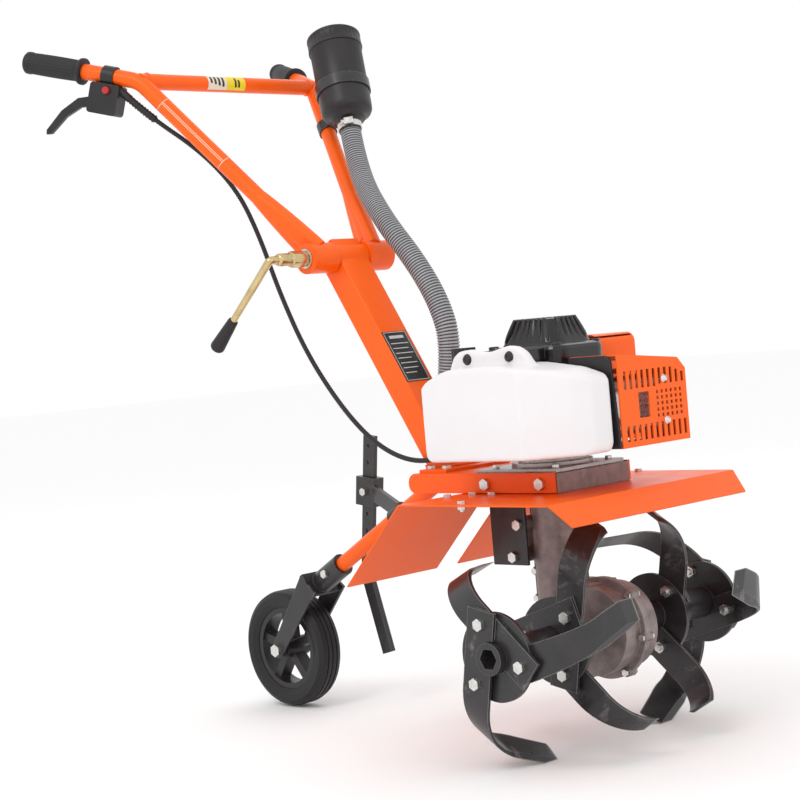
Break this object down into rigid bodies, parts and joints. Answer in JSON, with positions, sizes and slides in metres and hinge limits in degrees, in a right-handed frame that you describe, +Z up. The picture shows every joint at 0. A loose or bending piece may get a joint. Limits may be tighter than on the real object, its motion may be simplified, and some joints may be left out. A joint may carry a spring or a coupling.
{
  "type": "mini cultivator",
  "caption": "Walk-behind tiller with worm-driven tine rotors, a small engine with side tank, tilting handlebar, transport wheel and drag stake.",
  "frame": {"origin": "on the floor, under the middle of the machine's footprint", "axes": "+X forward over the tines, +Y to the machine's left, +Z up"},
  "size_m": [0.8896, 0.4952, 0.9623],
  "materials": {
    "orange_paint": "gloss",
    "black_paint": "semi-gloss",
    "cast_metal": "satin",
    "bare_alloy": "satin",
    "machined_steel": "satin",
    "zinc": "satin",
    "yellow_zinc": "satin",
    "rubber": "matt",
    "tyre": "matt",
    "black_plastic": "satin",
    "orange_plastic": "satin",
    "tank_plastic": "satin",
    "hose_plastic": "satin",
    "foam": "matt",
    "red_plastic": "gloss",
    "gear_bronze": "satin"
  },
  "bodies": {
    "frame": {"base_bracket": "orange_paint", "bearings": "machined_steel", "carburettor": "bare_alloy", "clutch_housing": "bare_alloy", "crankcase": "bare_alloy", "cylinder": "bare_alloy", "cylinder_cover": "orange_plastic", "engine_plate": "bare_alloy", "fender": "orange_paint", "fender_hangers": "black_paint", "frame_bolts": "zinc", "fuel_tank": "tank_plastic", "gear_case_left": "cast_metal", "gear_case_right": "cast_metal", "hinge_bolt": "zinc", "intake_elbow": "rubber", "intake_hose": "hose_plastic", "main_beam": "orange_paint", "muffler": "zinc", "muffler_cover": "orange_plastic", "muffler_shield": "black_plastic", "spark_plug": "rubber", "stake_holder": "black_paint", "starter_cover": "black_plastic", "throttle_cable": "rubber", "wheel_fork": "black_paint", "wheel_tube": "orange_paint"},
    "rotors": {"tine_shaft": "machined_steel", "worm_wheel": "gear_bronze", "tine_hubs": "black_paint", "tines_outer": "black_paint", "tines_inner": "black_paint", "tine_bolts": "zinc"},
    "worm": {"worm_shaft": "machined_steel", "clutch_drum": "machined_steel"},
    "crank": {"crankshaft": "machined_steel", "flywheel": "bare_alloy", "clutch_shoes": "machined_steel"},
    "pulley": {"starter_pulley": "black_plastic"},
    "piston": {"piston": "bare_alloy", "connecting_rod": "bare_alloy"},
    "wheel": {"tyre": "tyre", "wheel_rim": "black_plastic"},
    "handlebar": {"handlebar_arm_right": "orange_paint", "handlebar_arm_left": "orange_paint", "crossbar": "orange_paint", "grips": "rubber", "cleaner_body": "black_plastic", "cleaner_lid": "black_plastic", "cleaner_element": "foam", "cleaner_bracket": "black_paint", "throttle_housing": "black_plastic"},
    "clamp": {"clamp_lever": "yellow_zinc", "clamp_grip": "rubber"},
    "throttle": {"throttle_lever": "black_plastic"},
    "stop": {"stop_switch": "red_plastic"},
    "stake": {"drag_stake": "black_paint"},
    "cap": {"fuel_cap": "black_plastic"},
    "choke": {"choke_lever": "black_plastic"},
    "primer": {"primer_bulb": "rubber"}
  },
  "joints": [
    {"name": "rotor_spin", "type": "hinge", "parent": "frame", "child": "rotors", "pos_m": [0.322, 0, 0.13948], "axis": [0, 1, 0], "continuous": true},
    {"name": "worm_spin", "type": "hinge", "parent": "frame", "child": "worm", "pos_m": [0.258, 0, 0.13948], "axis": [0, 0, 1], "continuous": true},
    {"name": "crank_spin", "type": "hinge", "parent": "frame", "child": "crank", "pos_m": [0.258, 0, 0.40048], "axis": [0, 0, 1], "continuous": true},
    {"name": "starter_spin", "type": "hinge", "parent": "frame", "child": "pulley", "pos_m": [0.258, 0, 0.49448], "axis": [0, 0, 1], "range_deg": [0, 1440], "stiffness_Nm_per_rad": 0.004},
    {"name": "piston_stroke", "type": "slide", "parent": "frame", "child": "piston", "axis": [0, 1, 0], "range_m": [-0.03, 0]},
    {"name": "wheel_spin", "type": "hinge", "parent": "frame", "child": "wheel", "pos_m": [-0.254, 0, 0.08348], "axis": [0, 1, 0], "continuous": true},
    {"name": "handlebar_tilt", "type": "hinge", "parent": "frame", "child": "handlebar", "pos_m": [-0.076, 0, 0.62348], "axis": [0, 1, 0], "range_deg": [-20, 25], "deforming": ["intake_hose", "throttle_cable"]},
    {"name": "clamp_turn", "type": "hinge", "parent": "frame", "child": "clamp", "pos_m": [-0.076, 0, 0.62348], "axis": [0, 1, 0], "range_deg": [-180, 0]},
    {"name": "throttle_squeeze", "type": "hinge", "parent": "handlebar", "child": "throttle", "pos_m": [-0.34157, -0.18879, 0.86558], "axis": [-0.4472, 0.8944, 0], "range_deg": [0, 20], "stiffness_Nm_per_rad": 0.15, "springref_deg": -17.19},
    {"name": "stop_press", "type": "slide", "parent": "handlebar", "child": "stop", "axis": [-0.4472, 0.8944, 0], "range_m": [0, 0.003], "stiffness_N_per_m": 400, "springref_m": -0.002},
    {"name": "stake_height", "type": "slide", "parent": "frame", "child": "stake", "axis": [-0.1428, 0, -0.9898], "range_m": [-0.048, 0.048]},
    {"name": "cap_turn", "type": "hinge", "parent": "frame", "child": "cap", "pos_m": [0.194, -0.074, 0.48448], "axis": [0, 0, 1], "range_deg": [0, 540]},
    {"name": "choke_turn", "type": "hinge", "parent": "frame", "child": "choke", "pos_m": [0.172, 0.086, 0.41248], "axis": [0, 1, 0], "range_deg": [0, 75]},
    {"name": "primer_press", "type": "slide", "parent": "frame", "child": "primer", "axis": [0, 1, 0], "range_m": [0, 0.003], "stiffness_N_per_m": 300, "springref_m": -0.002}
  ],
  "couplings": [
    {"joint": "worm_spin", "follows": "rotor_spin", "ratio": -46}
  ]
}
